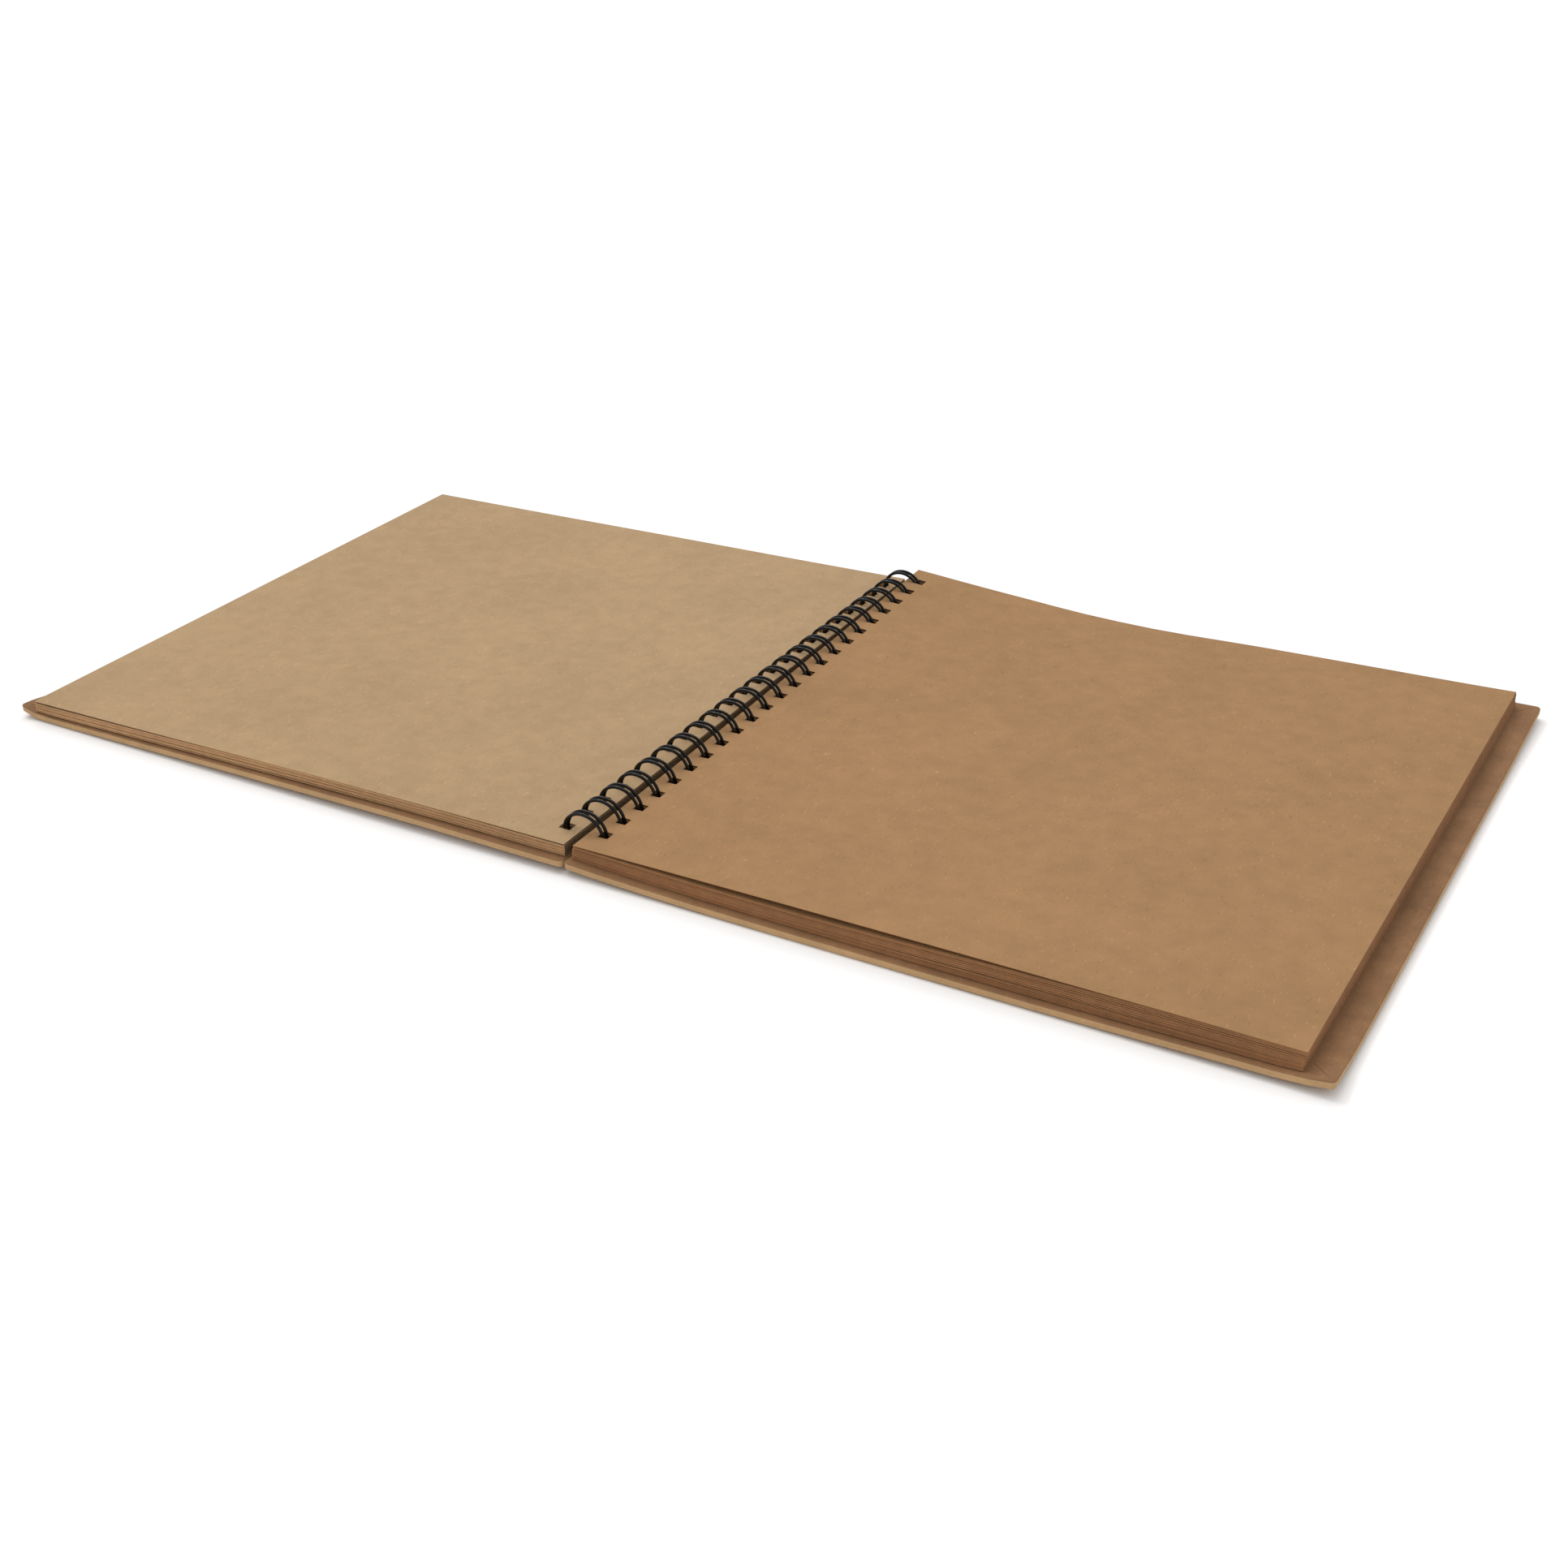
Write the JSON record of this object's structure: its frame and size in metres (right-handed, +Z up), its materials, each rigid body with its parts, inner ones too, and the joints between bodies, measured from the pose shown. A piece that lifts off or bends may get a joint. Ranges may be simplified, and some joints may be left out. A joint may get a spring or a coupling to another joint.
{
  "type": "sketchbook",
  "caption": "Square hardcover sketchbook of kraft paper on a twin-loop wire, lying open flat; covers and leaves turn about the binding.",
  "frame": {"origin": "on the table, under the middle of the binding wire", "axes": "+X from the front cover on the left to the back cover on the right, +Y along the binding from tail to head, +Z up"},
  "size_m": [0.6218, 0.313, 0.0205],
  "materials": {
    "kraft_leaf": "uncoated brown kraft paper with visible fibres",
    "kraft_wrap": "uncoated brown kraft paper glued over board, soft rounded edges",
    "kraft_lining": "uncoated brown kraft paper glued down flat",
    "greyboard": "dense grey bookbinding board, raw",
    "wire_black": "glossy black coated steel wire"
  },
  "bodies": {
    "back_cover": {"back_board": "greyboard", "back_wrap": "kraft_wrap", "back_lining": "kraft_lining", "binding_wire": "wire_black"},
    "front_cover": {"front_board": "greyboard", "front_wrap": "kraft_wrap", "front_lining": "kraft_lining"},
    "left_leaves": {"leaf_01": "kraft_leaf", "leaf_02": "kraft_leaf", "leaf_03": "kraft_leaf", "leaf_04": "kraft_leaf", "leaf_05": "kraft_leaf", "leaf_06": "kraft_leaf", "leaf_07": "kraft_leaf", "leaf_08": "kraft_leaf", "leaf_09": "kraft_leaf", "leaf_10": "kraft_leaf", "leaf_11": "kraft_leaf", "leaf_12": "kraft_leaf", "leaf_13": "kraft_leaf", "leaf_14": "kraft_leaf", "leaf_15": "kraft_leaf"},
    "right_leaves": {"leaf_17": "kraft_leaf", "leaf_18": "kraft_leaf", "leaf_19": "kraft_leaf", "leaf_20": "kraft_leaf", "leaf_21": "kraft_leaf", "leaf_22": "kraft_leaf", "leaf_23": "kraft_leaf", "leaf_24": "kraft_leaf", "leaf_25": "kraft_leaf", "leaf_26": "kraft_leaf", "leaf_27": "kraft_leaf", "leaf_28": "kraft_leaf", "leaf_29": "kraft_leaf", "leaf_30": "kraft_leaf", "leaf_31": "kraft_leaf", "leaf_32": "kraft_leaf", "leaf_33": "kraft_leaf", "leaf_34": "kraft_leaf", "leaf_35": "kraft_leaf", "leaf_36": "kraft_leaf", "leaf_37": "kraft_leaf", "leaf_38": "kraft_leaf", "leaf_39": "kraft_leaf", "leaf_40": "kraft_leaf"},
    "top_leaf": {"leaf_16": "kraft_leaf"}
  },
  "joints": [
    {"name": "front_cover_turn", "type": "hinge", "parent": "back_cover", "child": "front_cover", "pos_m": [0, 0, 0.0103], "axis": [0, 1, 0], "range_deg": [0, 180]},
    {"name": "left_leaves_turn", "type": "hinge", "parent": "front_cover", "child": "left_leaves", "pos_m": [0, 0, 0.0103], "axis": [0, -1, 0], "range_deg": [-180, 0]},
    {"name": "right_leaves_turn", "type": "hinge", "parent": "back_cover", "child": "right_leaves", "pos_m": [0, 0, 0.0103], "axis": [0, 1, 0], "range_deg": [-180, 0]},
    {"name": "top_leaf_turn", "type": "hinge", "parent": "right_leaves", "child": "top_leaf", "pos_m": [0, 0, 0.0103], "axis": [0, 1, 0], "range_deg": [-180, 0]}
  ]
}
